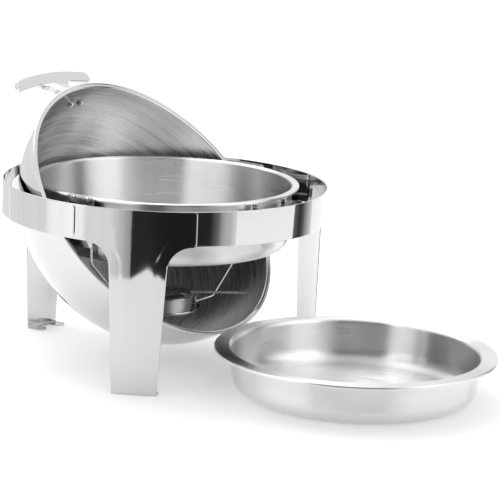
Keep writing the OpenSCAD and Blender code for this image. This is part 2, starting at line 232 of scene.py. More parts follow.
def wire(bm, points, diameter, bend):
    """A round wire along a path in space, with bent corners. Its first end is rounded and
    its last one dished; an end is given as (distance, share of the radius) steps."""
    path = [Vector(p) for p in rounded(points, [bend] * len(points), step=8)]
    r = diameter / 2
    ends = [(1.0, 0.05), (0.8, 0.6), (0.4, 0.92), (0.0, 1.0)]
    first = (path[1] - path[0]).normalized()
    last = (path[-1] - path[-2]).normalized()
    stations = [(path[0] - first * r * s, first, k) for s, k in ends]
    stations += [(p, (path[i + 2] - path[i]).normalized(), 1.0)
                 for i, p in enumerate(path[1:-1])]
    stations += [(path[-1] - last * r * s, last, k) for s, k in ends[::-1]]
    side = first.orthogonal().normalized()
    turns = [2 * math.pi * i / WIRE_SIDES for i in range(WIRE_SIDES)]
    rings = []
    for p, tangent, k in stations:
        side = (side - tangent * side.dot(tangent)).normalized()
        other = tangent.cross(side)
        rings.append([bm.verts.new(p + (side * math.cos(a) + other * math.sin(a)) * r * k)
                      for a in turns])
    join_rings(bm, rings)


def hex_nut(across, height):
    """A six-sided nut body, measured over its corners."""
    return plate(arc(0, 0, across / 2, 0, 300, 60), 0, height, 0.4)


def add(bm, other, matrix=None):
    """Moves one mesh by a matrix, adds it to another and frees it."""
    if matrix is not None:
        other.transform(matrix)
    scrap = bpy.data.meshes.new("scrap")
    other.to_mesh(scrap)
    other.free()
    bm.from_mesh(scrap)
    bpy.data.meshes.remove(scrap)


def spun(section, steps=48):
    """A mesh of its own, spun all the way round Z."""
    bm = bmesh.new()
    spin(bm, section, steps)
    return bm


def along_x(x, y, z, side=1):
    """Turns a piece built about Z so that its axis runs along X, outwards on that side."""
    return (Matrix.Diagonal((side, 1, 1, 1)) @ Matrix.Translation((x, y, z))
            @ Matrix.Rotation(math.radians(90), 4, "Y"))


def pill(r, z0, z1, edge):
    """Half section of a short cylinder with rounded edges."""
    return rounded([(0, z0), (r, z0), (r, z1), (0, z1)], [0, edge, edge, 0])


def dome_head(r, height, way=1):
    """Half section of a domed rivet or screw head, which stands up or, at -1, hangs down."""
    side = arc(0, 0, 1, 0, 90, 15)
    return [(0, 0), (r, 0)] + [(r * x, way * height * (0.2 + 0.8 * y)) for x, y in side]


# ---- materials ----

class Material:
    """A node-built material; sockets take numbers, colours or other nodes' outputs."""

    def __init__(self, name):
        self.data = bpy.data.materials.new(name)
        self.data.use_nodes = True
        self.tree = self.data.node_tree
        self.shader = self.tree.nodes["Principled BSDF"]

    def node(self, kind, settings=None, **inputs):
        made = self.tree.nodes.new(kind)
        for key, value in (settings or {}).items():
            setattr(made, key, value)
        self.put(made, inputs)
        return made.outputs[0]

    def put(self, node, inputs):
        for key, value in inputs.items():
            socket = node.inputs[int(key[1:])] if key[0] == "i" and key[1:].isdigit() \
                else node.inputs[key.replace("_", " ")]
            if isinstance(value, bpy.types.NodeSocket):
                self.tree.links.new(value, socket)
            else:
                socket.default_value = value

    def math(self, operation, *values):
        inputs = {f"i{i}": v for i, v in enumerate(values)}
        return self.node("ShaderNodeMath", {"operation": operation}, **inputs)

    def remap(self, value, low, high, to_low, to_high):
        made = self.tree.nodes.new("ShaderNodeMapRange")
        self.put(made, {"Value": value, "From_Min": low, "From_Max": high,
                        "To_Min": to_low, "To_Max": to_high})
        return made.outputs[0]

    def mix(self, factor, a, b):
        made = self.tree.nodes.new("ShaderNodeMix")
        made.data_type = "RGBA"
        colours = [s for s in made.inputs if s.type == "RGBA"]
        self.tree.links.new(factor, made.inputs[0])
        colours[0].default_value = (*a, 1)
        colours[1].default_value = (*b, 1)
        return next(s for s in made.outputs if s.type == "RGBA")

    def place(self):
        return self.tree.nodes.new("ShaderNodeTexCoord").outputs["Object"]

    def apart(self, vector):
        made = self.tree.nodes.new("ShaderNodeSeparateXYZ")
        self.tree.links.new(vector, made.inputs[0])
        return made.outputs

    def noise(self, vector, scale, detail, w=None):
        made = self.tree.nodes.new("ShaderNodeTexNoise")
        self.put(made, {"Vector": vector, "Scale": scale, "Detail": detail})
        if w is not None:
            made.noise_dimensions = "4D"
            self.put(made, {"W": w})
        return made.outputs[0]

    def bump(self, height, distance, strength=1.0, normal=None):
        made = self.tree.nodes.new("ShaderNodeBump")
        self.put(made, {"Height": height, "Distance": distance, "Strength": strength})
        if normal is not None:
            self.put(made, {"Normal": normal})
        return made.outputs[0]


def ring_grain(m, across, along):
    """Noise drawn out into rings about Z: fine across the rings, slow along them."""
    x, y, z = m.apart(m.place())
    radius = m.math("SQRT", m.math("ADD", m.math("MULTIPLY", x, x),
                                   m.math("MULTIPLY", y, y)))
    safe = m.math("MAXIMUM", radius, 1e-4)
    vector = m.node("ShaderNodeCombineXYZ",
                    i0=m.math("MULTIPLY", m.math("DIVIDE", x, safe), along),
                    i1=m.math("MULTIPLY", m.math("DIVIDE", y, safe), along),
                    i2=m.math("MULTIPLY", z, across))
    return m.noise(vector, 1.0, 4.0, w=m.math("MULTIPLY", radius, across))


def polished(name, colour, roughness, wave=0.00006):
    """Mirror-polished sheet: faint waves, hazy patches and hairline wiping marks."""
    m = Material(name)
    place = m.place()
    haze = m.noise(place, 14.0, 5.0)
    stretched = m.node("ShaderNodeVectorMath", {"operation": "MULTIPLY"},
                       i0=place, i1=(60.0, 60.0, 900.0))
    hairline = m.noise(stretched, 1.0, 2.0)
    low, high = roughness
    wear = m.math("ADD", m.math("MULTIPLY", haze, 0.7), m.math("MULTIPLY", hairline, 0.3))
    dark = [c * 0.94 for c in colour]
    wavy = m.bump(m.noise(place, 9.0, 1.0), wave * 4)
    m.put(m.shader, {
        "Base_Color": m.mix(haze, colour, dark),
        "Metallic": 1.0,
        "Roughness": m.remap(wear, 0.3, 0.7, low, high),
        "Normal": m.bump(hairline, 0.000004, 0.5, wavy)})
    return m.data


def brushed(name, colour, roughness, across, along, depth, stretch, shade, streaks=90.0):
    """Satin metal spun or brushed in rings about the piece's own axis."""
    m = Material(name)
    fine = ring_grain(m, across, along)
    coarse = ring_grain(m, streaks, along * 0.4)
    cloud = m.noise(m.place(), 9.0, 3.0)
    low, high = roughness
    tone = m.math("ADD", m.math("MULTIPLY", coarse, 0.6), m.math("MULTIPLY", fine, 0.4))
    mark = m.remap(tone, 0.35, 0.65, 0.0, 1.0)
    worn = m.math("ADD", m.math("MULTIPLY", mark, 0.7), m.math("MULTIPLY", cloud, 0.3))
    dark = [c * (1 - shade) for c in colour]
    tangent = m.tree.nodes.new("ShaderNodeTangent")
    tangent.direction_type = "RADIAL"
    tangent.axis = "Z"
    coarse_bump = m.bump(coarse, depth * 3)
    m.put(m.shader, {
        "Base_Color": m.mix(mark, dark, colour),
        "Metallic": 1.0,
        "Roughness": m.remap(worn, 0.2, 0.8, low, high),
        "Anisotropic": stretch,
        "Anisotropic_Rotation": 0.25,
        "Tangent": tangent.outputs[0],
        "Normal": m.bump(fine, depth, 0.7, coarse_bump)})
    return m.data


def plain_metal(name, colour, roughness, grain_scale=700.0):
    """Turned or drawn steel with a fine grain and darker pits."""
    m = Material(name)
    place = m.place()
    grain = m.noise(place, grain_scale, 4.0)
    patch = m.noise(place, 60.0, 3.0)
    low, high = roughness
    dark = [c * 0.75 for c in colour]
    m.put(m.shader, {
        "Base_Color": m.mix(m.remap(patch, 0.35, 0.65, 0.0, 1.0), dark, colour),
        "Metallic": 1.0,
        "Roughness": m.remap(grain, 0.3, 0.7, low, high),
        "Normal": m.bump(grain, 0.00003, 0.6)})
    return m.data


def rubber(name):
    """Dull black rubber with a fine grain."""
    m = Material(name)
    grain = m.noise(m.place(), 900.0, 3.0)
    m.put(m.shader, {
        "Base_Color": m.mix(grain, (0.012, 0.012, 0.013), (0.03, 0.03, 0.031)),
        "Roughness": m.remap(grain, 0.3, 0.7, 0.55, 0.8),
        "Normal": m.bump(grain, 0.00006, 0.5)})
    return m.data


STEEL = (0.70, 0.70, 0.705)
mirror = polished("mirror_steel", STEEL, (0.02, 0.07))
band_steel = polished("band_steel", STEEL, (0.015, 0.05), 0.00003)
leg_steel = polished("leg_steel", (0.62, 0.62, 0.625), (0.03, 0.08), 0.00005)
lid_steel = brushed("lid_steel", (0.92, 0.92, 0.925), (0.22, 0.36), 1100.0, 2.0,
                    0.00002, 0.8, 0.36, 300.0)
pan_steel = brushed("pan_steel", (0.82, 0.82, 0.825), (0.26, 0.34), 2500.0, 4.0,
                    0.0000025, 1.0, 0.03)
satin = plain_metal("satin_plate", (0.62, 0.62, 0.625), (0.12, 0.25))
wire_steel = plain_metal("wire_steel", (0.86, 0.86, 0.865), (0.18, 0.32), 400.0)
cup_steel = brushed("cup_steel", (0.95, 0.95, 0.955), (0.42, 0.55), 2500.0, 4.0,
                    0.000006, 0.9, 0.05)
dark_steel = plain_metal("dark_steel", (0.30, 0.30, 0.31), (0.25, 0.42))
cast = polished("cast_handle", (0.70, 0.70, 0.705), (0.05, 0.12), 0.00012)
bumper_rubber = rubber("bumper_rubber")


def piece(node, bm, material, place=stand_place, smooth=38, inside=None):
    """Makes the visible piece that stands for a CAD node, from a mesh in millimetres.
    A second material may go on the faces a test picks out."""
    bmesh.ops.recalc_face_normals(bm, faces=bm.faces)
    mesh = bpy.data.meshes.new(node + "_look")
    if inside:
        for face in bm.faces:
            face.material_index = int(inside[1](face))
    bm.to_mesh(mesh)
    bm.free()
    mesh.transform(Matrix.Scale(MM, 4))
    mesh.shade_smooth()
    mesh.set_sharp_from_angle(angle=math.radians(smooth))
    mesh.materials.append(material)
    if inside:
        mesh.materials.append(inside[0])
    made = bpy.data.objects.new(node + "_look", mesh)
    bpy.context.scene.collection.objects.link(made)
    made.matrix_world = place
    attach(made, body_of[node])
    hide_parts(node)
    return made


SIDES = {"left": -1, "right": 1}

# ---- band, legs and hinge plates ----

SEAM_GAP = 0.35


def build_band():
    wall = SHEET - 0.02
    section = round_rect(wall, BAND_TOP - BAND_LOW, 0.6,
                         BAND_R - SHEET / 2, (BAND_TOP + BAND_LOW) / 2)
    gap = math.degrees(SEAM_GAP / BAND_R)
    bm = bmesh.new()
    spin(bm, section, 360, 360 - gap, -90 + gap / 2)
    piece("frame_band", bm, band_steel)


# What lies on the band: the legs' heads and the hinge plates
LEG_SKIN = BAND_R + 0.05
LEG_OUT = LEG_SKIN + SHEET
LEG_ANGLE = 59.5
LEG_HEAD = 79.0
LEG_TOP = 42.0
LEG_FOOT = 32.0
LEG_FILLET = 34.0
HEAD_CORNER = 5.0
FOOT_IN = 26.0
FOOT_BEND = 2.6
PLATE_HALF = 31.0
PLATE_CORNER = 6.0
PLATE_MARGIN = 1.0
# The panel pressed into each leg: how proud it stands, how soft its edge is, the half width
# of its head, and the heights between which it narrows and fades out
PANEL_RISE = 0.28
PANEL_SOFT = 3.5
PANEL_HEAD = 36.0
PANEL_TOP = 232.0
PANEL_WAIST = (184, 218)
PANEL_FADE = (10, 34)


def head_edge(half, corner, low, top, count):
    """Half widths and heights down the side of a head with two round corners."""
    high = [(half - corner + x, top - corner + y) for x, y in arc(0, 0, corner, 90, 0, 9)]
    side = [(half, top - corner - (top - low - 2 * corner) * i / count) for i in range(1, count)]
    foot = [(half - corner + x, low + corner + y) for x, y in arc(0, 0, corner, 0, -90, 9)]
    return high + side + foot


def leg_edge():
    """Half widths and heights down the side of a leg, from its top edge to the foot's bend."""
    head = head_edge(LEG_HEAD, HEAD_CORNER, BAND_LOW, BAND_TOP, 16)
    fillet_x = LEG_TOP + LEG_FILLET - 1.5
    fillet = [(x, y) for x, y in arc(fillet_x, BAND_LOW - LEG_FILLET, LEG_FILLET, 90, 180, 3)
              if x < head[-1][0]]
    start_x, start_z = fillet[-1]
    count = 60
    shank = [(start_x + (LEG_FOOT - start_x) * i / count,
              start_z + (FOOT_BEND - start_z) * i / count) for i in range(1, count + 1)]
    return head + fillet + shank


def smooth_step(x, low, high):
    """Runs softly from 0 at low to 1 at high."""
    f = min(1.0, max(0.0, (x - low) / (high - low)))
    return f * f * (3 - 2 * f)


def leg_relief(x, z):
    """How far the leg's pressed panel stands proud at a place on the leg."""
    waist = smooth_step(z, *PANEL_WAIST)
    shank_half = 15.5 + (z - 20) * 9.5 / 170
    half = shank_half * (1 - waist) + PANEL_HEAD * waist
    across = smooth_step(half - abs(x), -PANEL_SOFT, PANEL_SOFT)
    along = smooth_step(PANEL_TOP - z, -PANEL_SOFT, PANEL_SOFT) * smooth_step(z, *PANEL_FADE)
    return PANEL_RISE * across * along


def build_leg(node, angle):
    rows = [(LEG_OUT, z, LEG_SKIN, z, w) for w, z in leg_edge()]
    low_half = rows[-1][4]
    inner_bend = FOOT_BEND - SHEET
    centre = LEG_OUT - FOOT_BEND
    for degrees in range(10, 91, 10):
        s, c = math.sin(math.radians(degrees)), math.cos(math.radians(degrees))
        rows.append((centre + FOOT_BEND * c, FOOT_BEND * (1 - s),
                     centre + inner_bend * c, FOOT_BEND - inner_bend * s, low_half))
    bm = bmesh.new()
    wrapped_sheet(bm, rows, 72, angle, SHEET, leg_relief)
    # the foot: a strip along the bend with two rounded tabs
    tab = LEG_FOOT * 0.36
    back = -math.sqrt(centre ** 2 - LEG_FOOT ** 2)
    strip = -LEG_OUT + 11
    tip = -LEG_OUT + FOOT_IN - tab + 2
    shift = LEG_FOOT - tab
    outline = ([(-LEG_FOOT, back), (0, -centre), (LEG_FOOT, back)]
               + arc(shift, tip, tab, 0, 180, 12)
               + [(LEG_FOOT - 2 * tab, strip + 1), (LEG_FOOT - 2 * tab - 1, strip),
                  (-LEG_FOOT + 2 * tab + 1, strip), (-LEG_FOOT + 2 * tab, strip + 1)]
               + arc(-shift, tip, tab, 0, 180, 12))
    foot = plate(outline, 0.02, SHEET - 0.02, 0.3)
    add(bm, foot, Matrix.Rotation(math.radians(angle), 4, "Z"))
    piece(node, bm, leg_steel)


def build_hinge_plate(side):
    edge = head_edge(PLATE_HALF, PLATE_CORNER, BAND_LOW + PLATE_MARGIN,
                     BAND_TOP - PLATE_MARGIN, 10)
    rows = [(LEG_OUT, z, LEG_SKIN, z, w) for w, z in edge]
    bm = bmesh.new()
    wrapped_sheet(bm, rows, 40, 90 * SIDES[side], SHEET)
    piece("hinge_plate_" + side, bm, band_steel)


# ---- pivots, hangers and the front bracket ----

HANGER_X = 195.5
HANGER_T = 2.0
HANGER_Y = (-32.0, 16.0)
HANGER_LOW = 192.0
HANGER_TOP = 264.0
EAR_X = 205.5
EAR_T = 1.5
REST_Z = 258.0
SHELF_IN = 187.5
RIVET_Y = (-21.0, 4.0)
RIVET_Z = 260.2
STOP_ALONG = 25.0
STOP_ACROSS = 17.3
PIN_HOLE = 4.1
PIN_IN = HANGER_X - 7
PIN_OUT = BAND_R - SHEET - 0.4
SHOULDER_IN = EAR_X + EAR_T + 1.5


def pin_hole(height):
    """A hole round the pivot axis, for a plate drawn as (y, z)."""
    return arc(0, height, PIN_HOLE, 0, 345, 15)


def both_sides(node, build, material):
    """One piece from what build() makes, as (mesh, x, y, z), on both sides of the chafer."""
    bm = bmesh.new()
    for side in SIDES.values():
        for other, x, y, z in build():
            add(bm, other, along_x(x, y, z, side))
    piece(node, bm, material)


def build_pivots():
    for name, side in SIDES.items():
        bm = bmesh.new()
        neck = pill(4.0, 0, PIN_OUT - PIN_IN, 0.7)
        shoulder = pill(9.0, 0, PIN_OUT - SHOULDER_IN, 0.8)
        add(bm, spun(neck), along_x(PIN_IN, 0, PIVOT_Z, side))
        add(bm, spun(shoulder, 64), along_x(SHOULDER_IN, 0, PIVOT_Z, side))
        piece("pivot_pin_" + name, bm, dark_steel)
    gap = EAR_X - HANGER_X - HANGER_T - 0.35
    ring = rounded([(PIN_HOLE, 0), (8, 0), (8, gap), (PIN_HOLE, gap)], [0.3] * 4, closed=True)
    both_sides("pivot_spacers", lambda: [(spun(ring), HANGER_X + HANGER_T + 0.05, 0, PIVOT_Z)],
               dark_steel)
    both_sides("pivot_nuts", lambda: [(hex_nut(14.8, 5), HANGER_X - 5.05, 0, PIVOT_Z)],
               dark_steel)

    def rivets():
        made = []
        for y in RIVET_Y:
            made.append((spun(pill(1.8, 0, 2.4, 0.1), 32), HANGER_X, y, RIVET_Z))
            made.append((spun(dome_head(3.3, 1.8)), HANGER_X + HANGER_T, y, RIVET_Z))
        return made

    both_sides("hanger_rivets", rivets, mirror)


def build_stops():
    turn = Matrix.Rotation(math.radians(-LID_OPEN), 4, "X")
    bm = bmesh.new()
    for side in SIDES.values():
        for section, x in ((pill(3, 0, EAR_X + EAR_T - HANGER_X + 1.5, 0.6), HANGER_X - 1.5),
                           (pill(4.5, 0, 2.4, 0.5), HANGER_X - 2.5)):
            add(bm, spun(section), Matrix.Translation((0, 0, PIVOT_Z)) @ turn
                @ along_x(x, STOP_ACROSS, STOP_ALONG, side))
    piece("lid_stops", bm, dark_steel)


def build_hanger(side):
    y0, y1 = HANGER_Y
    middle = (y0 + y1) / 2
    outline = round_rect(y1 - y0, HANGER_TOP - HANGER_LOW, 5, middle,
                         (HANGER_TOP + HANGER_LOW) / 2)
    bm = plate(outline, HANGER_X, HANGER_X + HANGER_T, 0.3, [pin_hole(PIVOT_Z)])
    bm.transform(STAND_UP)
    shelf_out = HANGER_X + 0.5
    shelf = round_rect(shelf_out - SHELF_IN, y1 - y0 - 10, 2, (shelf_out + SHELF_IN) / 2, middle)
    add(bm, plate(shelf, REST_Z - 1.5, REST_Z, 0.4))
    bm.transform(Matrix.Diagonal((SIDES[side], 1, 1, 1)))
    piece("pan_hanger_" + side, bm, satin)


LEDGE_Z = 250.5
LEDGE_IN = 188.0
BRACKET_HALF = 16.0
BRACKET_OUT = BAND_R - SHEET - 0.2
BRACKET_RIVETS = (-11.0, 11.0)


def build_front_bracket():
    mid = BRACKET_OUT - SHEET / 2
    path = rounded([(LEDGE_IN + SHEET / 2, LEDGE_Z + SHEET / 2), (mid, LEDGE_Z + SHEET / 2),
                    (mid, BAND_LOW + 6 + SHEET / 2)], [0, 1.6, 0])
    bm = bmesh.new()
    spin(bm, sheet_section(path, SHEET), 32, 2 * BRACKET_HALF, -90 - BRACKET_HALF)
    bevel_sharp(bm, 0.3, 2, 70)
    piece("front_bracket", bm, mirror)
    bm = bmesh.new()
    rivet_z = BAND_LOW + 18
    for a in BRACKET_RIVETS:
        aim = Matrix.Rotation(math.radians(a - 90), 4, "Z")
        add(bm, spun(dome_head(4, 2.0, -1)), aim @ along_x(BRACKET_OUT - SHEET - 0.1, 0, rivet_z))
        add(bm, spun(pill(2, 0, 3.1, 0.1)), aim @ along_x(BRACKET_OUT - 3.2, 0, rivet_z))
    piece("front_rivets", bm, mirror)


def build_rests():
    """The pads under the water pan's lip and the rubber bumpers under the lid's flange."""
    for node, r, angles, top, material, reach in (
            ("pan_rest_pads", 4.5, (-10, 10), REST_Z, satin, LEDGE_IN + 5),
            ("lid_bumpers", 4.0, (-13, 13), box_mm("lid_bumpers")[1].z, bumper_rubber, 212.0)):
        bm = bmesh.new()
        for a in angles:
            add(bm, spun(pill(r, LEDGE_Z + SHEET, top, 0.8)),
                Matrix.Rotation(math.radians(a), 4, "Z") @ Matrix.Translation((0, -reach, 0)))
        piece(node, bm, material)


# ---- burner ----

WIRE = 4.0
CRADLE_Y = -24
CRADLE_X = 189
THIN_SHEET = 1.2
TRAY_Z = box_mm("burner_tray")[0].z
TRAY_R = 57.0
CUP_R = 45.0
CUP_H = 21.0
COVER_Z = box_mm("snuffer_cover")[0].z
SWING_REACH = CUP_R + 7
SNUFFER_REACH = 128.0
SNUFFER_TURN = Matrix.Rotation(math.radians(46), 4, "Z")
PRONG_HALF = 4.5
PRONG_ANGLES = (70, 190, 310)


def build_cradle(side):
    s = SIDES[side]
    bm = bmesh.new()
    wire(bm, [(s * (HANGER_X - WIRE / 2), CRADLE_Y, 226), (s * CRADLE_X, CRADLE_Y, 218),
              (s * CRADLE_X, CRADLE_Y, 168), (s * 92, CRADLE_Y, 76.5),
              (s * (TRAY_R + 1.4), CRADLE_Y / 2, TRAY_Z + 2)], WIRE, 9.0)
    piece("cradle_wire_" + side, bm, wire_steel)


def build_tray():
    edge = TRAY_R - THIN_SHEET / 2
    flat = TRAY_Z + SHEET / 2
    tray = rounded([(0, flat), (edge, flat), (edge, TRAY_Z + 5.6)], [0, 2.0, 0])
    bm = spun(sheet_section(tray, THIN_SHEET), 96)
    outline = rounded([(-PRONG_HALF, 1), (PRONG_HALF, 1),
                       (PRONG_HALF, 1 + CUP_H), (-PRONG_HALF, 1 + CUP_H)],
                      [0, 0, 3.5, 3.5], closed=True)
    for a in PRONG_ANGLES:
        add(bm, plate(outline, CUP_R + 4.1, CUP_R + 5.9, 0.3),
            Matrix.Rotation(math.radians(a), 4, "Z") @ Matrix.Translation((0, 0, TRAY_Z))
            @ STAND_UP)
    piece("burner_tray", bm, mirror)


def build_cup():
    base = TRAY_Z + SHEET
    cup = rounded([(0, base + 0.5), (CUP_R - 0.5, base + 0.5), (CUP_R - 0.5, base + CUP_H - 0.5),
                   (CUP_R + 2, base + CUP_H - 0.5)], [0, 2.5, 1.2, 0])
    piece("burner_cup", spun(sheet_section(cup, 1.0), 96), cup_steel)
    pin = spun(pill(1.5, TRAY_Z + 8, COVER_Z + 2.6, 0.5), 32)
    pin.transform(Matrix.Translation((0, SWING_REACH, 0)))
    add(pin, plate(round_rect(6, 7.4, 1, 0, CUP_R + 3.8), COVER_Z - 7, COVER_Z - 3, 0.4))
    pin.transform(SNUFFER_TURN)
    piece("snuffer_pin", pin, dark_steel)


def build_snuffer():
    low, high = COVER_Z + THIN_SHEET / 2, COVER_Z + 3.4
    cover = rounded([(0, high), (29, high), (39, low), (CUP_R + 2, low)], [0, 3, 3, 0])
    bm = spun(sheet_section(cover, THIN_SHEET), 96)
    lug = plate([(-5, CUP_R - 6), (5, CUP_R - 6)] + arc(0, SWING_REACH, 5, 0, 180, 15),
                COVER_Z + 0.02, COVER_Z + 1.18, 0.2)
    add(bm, lug, SNUFFER_TURN)
    piece("snuffer_cover", bm, mirror)
    bm = bmesh.new()
    thin = WIRE * 0.6
    z = COVER_Z + THIN_SHEET + thin / 2
    for s, tip_z in ((-1, z - 1), (1, z + 4)):
        wire(bm, [(s * 4, -CUP_R + 1.5, z), (s * 4, -CUP_R - 16, z),
                  (s * 3, -SNUFFER_REACH + 8, z - 1), (s * 3, -SNUFFER_REACH, tip_z)], thin, 5.0)
    bm.transform(SNUFFER_TURN)
    piece("snuffer_handle", bm, wire_steel)


# ---- pans ----

PAN_T = 1.0
food_centre = sum(box_mm("food_pan"), Vector((0, 0, 0))) / 2
food_place = Matrix.Translation(Vector((food_centre.x, food_centre.y, 0)) * MM)


def build_pan(node, place, wall_top, wall_low, corner, neck, lip):
    """A deep-drawn round pan: crowned bottom, slanted wall, flat rim, turned-down lip."""
    low, high = box_mm(node)
    h = PAN_T / 2
    bottom, top, rim = low.z + h, high.z - h, (high.x - low.x) / 2 - h
    path = rounded(
        [(0, bottom + 0.6), (wall_low * 0.55, bottom + 0.6), (wall_low * 0.6, bottom),
         (wall_low - h, bottom), (wall_top - h, top), (rim, top), (rim, high.z - lip + h)],
        [0, 6, 6, corner, neck, 2.0, 0], step=5)
    piece(node, spun(sheet_section(path, PAN_T), 256), pan_steel, place)


# ---- lid ----

DOME_R = 210.5
DOME_H = 180.0
RIM_RISE = 22.0
FLANGE_R = 217.5
LID_T = 1.0
EAR_HALF = 14.0
EAR_TOP = 40.0
EAR_CORNER = 4.0
SCREW_UP = 57.0
SCREW_APART = 11.0


def build_lid():
    h = LID_T / 2
    flange = [(FLANGE_R - 3, RIM_RISE + h), (DOME_R - h, RIM_RISE + h)]
    dome = [((DOME_R - h) * math.cos(math.radians(a)),
             RIM_RISE + h + (DOME_H - 2 * h) * math.sin(math.radians(a)))
            for a in (1.5 * i for i in range(1, 60))]
    dome.append((0, RIM_RISE + DOME_H - h))
    path = rounded(flange + dome, [0, 2.2] + [0] * len(dome))
    bm = spun(sheet_section(path, LID_T), 288)
    bead = rounded([(FLANGE_R - 3.2, RIM_RISE - 0.9), (FLANGE_R, RIM_RISE - 0.9),
                    (FLANGE_R, RIM_RISE + 1.9), (FLANGE_R - 3.2, RIM_RISE + 1.9)],
                   [1.3] * 4, closed=True, step=18)
    spin(bm, bead, 288)

    def faces_in(face):
        out = face.calc_center_median() - Vector((0, 0, RIM_RISE))
        return out.z > 1.2 and face.normal.dot(out) < 0

    piece("lid_shell", bm, mirror, lid_place, inside=(lid_steel, faces_in))


def build_ears():
    half, top = EAR_HALF - EAR_CORNER, EAR_TOP - EAR_CORNER
    outline = (arc(0, 0, EAR_HALF, 180, 360, 9) + arc(half, top, EAR_CORNER, 0, 90, 15)
               + arc(-half, top, EAR_CORNER, 90, 180, 15))
    for name, side in SIDES.items():
        bm = plate(outline, EAR_X, EAR_X + EAR_T, 0.25, [pin_hole(0)])
        bm.transform(Matrix.Diagonal((side, 1, 1, 1)) @ STAND_UP)
        piece("lid_ear_" + name, bm, satin, lid_place)
    bm = bmesh.new()
    for side in SIDES.values():
        for y in (-7, 7):
            add(bm, spun(dome_head(3.2, 1.2, -1), 32), along_x(EAR_X, y, EAR_TOP - 8, side))
            add(bm, spun(dome_head(3.2, 1.6), 32), along_x(DOME_R - 0.35, y, EAR_TOP - 8, side))
    piece("ear_rivets", bm, mirror, lid_place)


WING_HALF = 80.0
WING_REACH = 271.0
WING_DEPTH = 18.0
WING_ARC = 400.0
NECK_HALF = 16.0
NECK_FILLET = 22.0
FOOT_HALF = 18.0
FOOT_REACH = DOME_R + 9
HANDLE_ROOT = 203
# Side view of the handle, as radius from the pivot axis and height over it
UNDERSIDE = [(HANDLE_ROOT, 48), (216.5, 48), (219.5, 51), (232, 57.5), (251, 70.5), (272, 70.5)]
TOPSIDE = [(HANDLE_ROOT, 66.5), (217.5, 66.5), (226, 67.5), (247, 79.5), (272, 79.5)]
SCREW_SEAT = DOME_R - 8.4


def height_at(line, x):
    """Height of a side view's line at a radius."""
    for (x0, y0), (x1, y1) in zip(line, line[1:]):
        if x <= x1:
            return y0 + (y1 - y0) * (x - x0) / (x1 - x0)
    return line[-1][1]


def handle_rows():
    """Half widths of the handle from the dome out to the wing's outer edge."""
    wing_in = WING_REACH - WING_DEPTH
    rows = [(HANDLE_ROOT + 1.5 * i, FOOT_HALF) for i in range(12)]
    rows += [(FOOT_REACH + 0.2 + 1.4 * i, NECK_HALF) for i in range(11)]
    rows += [(wing_in - NECK_FILLET + y, NECK_HALF + NECK_FILLET + x)
             for x, y in arc(0, 0, NECK_FILLET, 180, 90, 6)[:-1]]
    tip = WING_DEPTH / 2
    rows += [(wing_in + tip + y, WING_HALF - tip + x) for x, y in arc(0, 0, tip, -90, 90, 10)]
    return rows


def build_handle():
    bm = bmesh.new()
    columns = 64
    rings = []
    for reach, half in handle_rows():
        low, high = height_at(UNDERSIDE, reach), height_at(TOPSIDE, reach)
        ring = []
        for z, order in ((high, 1), (low, -1)):
            skin = (DOME_R + 0.4) * math.sqrt(1 - ((z - RIM_RISE) / (DOME_H + 0.4)) ** 2)
            for i in range(columns + 1)[::order]:
                x = half * (2 * i / columns - 1)
                y = max(reach - x * x / (2 * WING_ARC - WING_DEPTH),
                        math.sqrt(skin * skin - x * x))
                ring.append(bm.verts.new((x, -y, z)))
        rings.append(ring)
    join_rings(bm, rings)
    made = piece("lid_handle", bm, cast, lid_place, 180)
    blend = made.modifiers.new("cast_in_one", "REMESH")
    blend.mode = "VOXEL"
    blend.voxel_size = 0.9 * MM
    blend.use_smooth_shade = True
    soften = made.modifiers.new("soften", "SMOOTH")
    soften.factor = 0.5
    soften.iterations = 8


def build_handle_screws():
    screws, washers = bmesh.new(), bmesh.new()
    head = [(r, SCREW_SEAT + z) for r, z in dome_head(4.6, 3.2, -1)]
    ring = rounded([(2.6, SCREW_SEAT + 0.05), (5.4, SCREW_SEAT + 0.05),
                    (5.4, SCREW_SEAT + 1.15), (2.6, SCREW_SEAT + 1.15)], [0.2] * 4, closed=True)
    for s in (-1, 1):
        aim = (Matrix.Translation((s * SCREW_APART, 0, SCREW_UP))
               @ Matrix.Rotation(math.radians(90), 4, "X"))
        add(screws, spun(pill(2.5, DOME_R - 10, DOME_R + 7, 0.3), 32), aim)
        add(screws, spun(head, 32), aim)
        add(washers, spun(ring, 32), aim)
    piece("handle_screws", screws, mirror, lid_place)
    piece("handle_washers", washers, mirror, lid_place)


build_band()
for leg, angle in (("leg_left", -LEG_ANGLE), ("leg_right", LEG_ANGLE), ("leg_back", 180)):
    build_leg(leg, angle)
build_pivots()
build_stops()
for side_name in SIDES:
    build_hinge_plate(side_name)
    build_hanger(side_name)
    build_cradle(side_name)
build_front_bracket()
build_rests()
build_tray()
build_cup()
build_snuffer()
build_pan("water_pan", stand_place, 185.0, 182.0, corner=18, neck=2.5, lip=4)
build_pan("food_pan", food_place, 175.0, 172.0, corner=24, neck=6, lip=4.5)
build_lid()
build_ears()
build_handle()
build_handle_screws()


# ---- floor, studio and camera ----

FLOOR_HALF = 20000.0
# The upright cards: how far from the chafer's axis they stand, and their heights. The front
# card's foot rises a little at one azimuth, given with a half width and a height.
CARD_R = 955
SIDE_CARD_R = 900
SIDE_CARD_TOP = 1000
LOW_CARD_TOP = 330
HIGH_CARD_FOOT = 360
HIGH_CARD_TOP = 1500
FRONT_NOTCH = (-60, 10, 20)
# The soft lamp overhead, in metres and watts
SOFTBOX_SIZE = (3.2, 2.4)
SOFTBOX_PLACE = (0.6, 1.6, 2.6)
SOFTBOX_AIM = Vector((0, 0, 0.1))
SOFTBOX_POWER = 40


